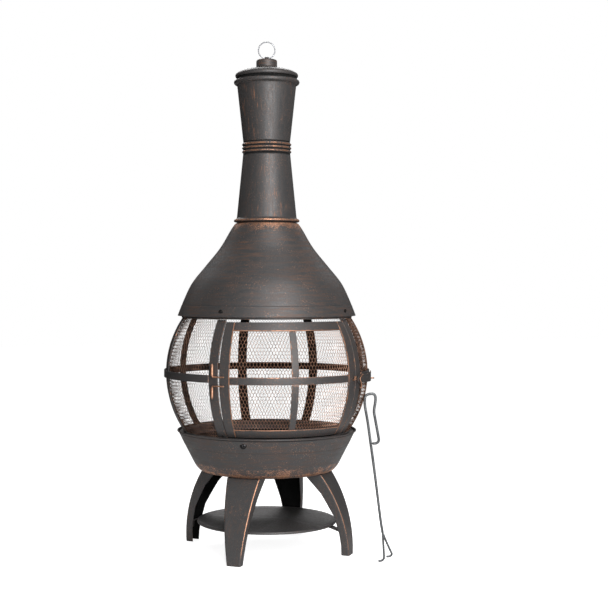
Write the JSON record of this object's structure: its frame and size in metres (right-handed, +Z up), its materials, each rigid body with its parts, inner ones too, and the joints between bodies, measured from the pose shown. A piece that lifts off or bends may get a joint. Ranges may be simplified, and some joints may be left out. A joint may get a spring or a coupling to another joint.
{
  "type": "chiminea",
  "caption": "Steel mesh chiminea: fire bowl on curved legs with a wood shelf, round mesh firebox with a hinged latched door, hood, tapered chimney, lift-off lid, grate and poker.",
  "frame": {"origin": "on the floor, on the upright axis of the firebox and chimney", "axes": "+Z up, the door faces -Y, +X is to the right of someone who looks at the door"},
  "size_m": [0.462, 0.4588, 1.143],
  "materials": {
    "charcoal_paint": "satin charcoal paint brushed over copper",
    "expanded_mesh": "satin brown-copper paint",
    "copper_paint": "rubbed copper",
    "chromed_wire": "polished",
    "black_fastener": "satin black",
    "grey_rod": "dull grey",
    "sooty_iron": "rough, sooty"
  },
  "bodies": {
    "stand_and_stack": {"fire_bowl": "charcoal_paint", "bottom_ring": "charcoal_paint", "top_ring": "charcoal_paint", "hood": "charcoal_paint", "lower_chimney": "charcoal_paint", "upper_chimney": "charcoal_paint", "post_1": "charcoal_paint", "post_2": "charcoal_paint", "post_3": "charcoal_paint", "post_4": "charcoal_paint", "post_5": "charcoal_paint", "post_6": "charcoal_paint", "post_7": "charcoal_paint", "belt": "charcoal_paint", "screen_mesh_right": "expanded_mesh", "screen_mesh_rear": "expanded_mesh", "screen_mesh_left": "expanded_mesh", "hood_bolt_1": "black_fastener", "hood_bolt_2": "black_fastener", "hood_bolt_3": "black_fastener", "hood_bolt_4": "black_fastener", "bowl_bolt_1": "black_fastener", "bowl_bolt_2": "black_fastener", "bowl_bolt_3": "black_fastener", "hinge_tube_upper": "copper_paint", "hinge_tube_lower": "copper_paint", "latch_pin": "copper_paint", "leg_1": "charcoal_paint", "leg_2": "charcoal_paint", "leg_3": "charcoal_paint", "leg_4": "charcoal_paint", "shelf_bracket_1": "charcoal_paint", "shelf_bracket_2": "charcoal_paint", "shelf_bracket_3": "charcoal_paint", "shelf_bracket_4": "charcoal_paint", "shelf": "charcoal_paint"},
    "door": {"door_hinge_stile": "charcoal_paint", "door_latch_stile": "charcoal_paint", "door_top_rail": "charcoal_paint", "door_middle_rail": "charcoal_paint", "door_bottom_rail": "charcoal_paint", "door_upper_bar": "charcoal_paint", "door_lower_bar": "charcoal_paint", "door_mesh": "expanded_mesh", "hinge_pin_upper": "copper_paint", "hinge_pin_lower": "copper_paint", "latch_catch": "copper_paint"},
    "latch": {"latch_bar": "charcoal_paint", "latch_pull": "copper_paint"},
    "lid": {"lid": "charcoal_paint", "lid_knob": "charcoal_paint", "lid_strap": "black_fastener"},
    "lid_ring": {"ring_handle": "chromed_wire"},
    "grate": {"fire_grate": "sooty_iron"},
    "fire_poker": {"poker": "grey_rod"}
  },
  "joints": [
    {"name": "door_hinge", "type": "hinge", "parent": "stand_and_stack", "child": "door", "pos_m": [-0.16348, -0.16348, 0.3909], "axis": [0, 0, -1], "range_deg": [0, 110]},
    {"name": "latch_pivot", "type": "hinge", "parent": "stand_and_stack", "child": "latch", "pos_m": [0.21671, -0.08449, 0.385], "axis": [-0.9317, 0.3633, 0], "range_deg": [0, 35]},
    {"name": "lid_lift", "type": "slide", "parent": "stand_and_stack", "child": "lid", "axis": [0, 0, 1], "range_m": [0, 0.12]},
    {"name": "ring_swing", "type": "hinge", "parent": "lid", "child": "lid_ring", "pos_m": [0, 0, 1.1043], "axis": [0.9659, -0.2588, 0], "range_deg": [-85, 85]},
    {"name": "grate_lift", "type": "slide", "parent": "stand_and_stack", "child": "grate", "axis": [0, 0, 1], "range_m": [0, 0.04]},
    {"name": "poker_pull", "type": "slide", "parent": "stand_and_stack", "child": "fire_poker", "axis": [0.5, -0.5, 0.7071], "range_m": [0, 0.4]}
  ]
}
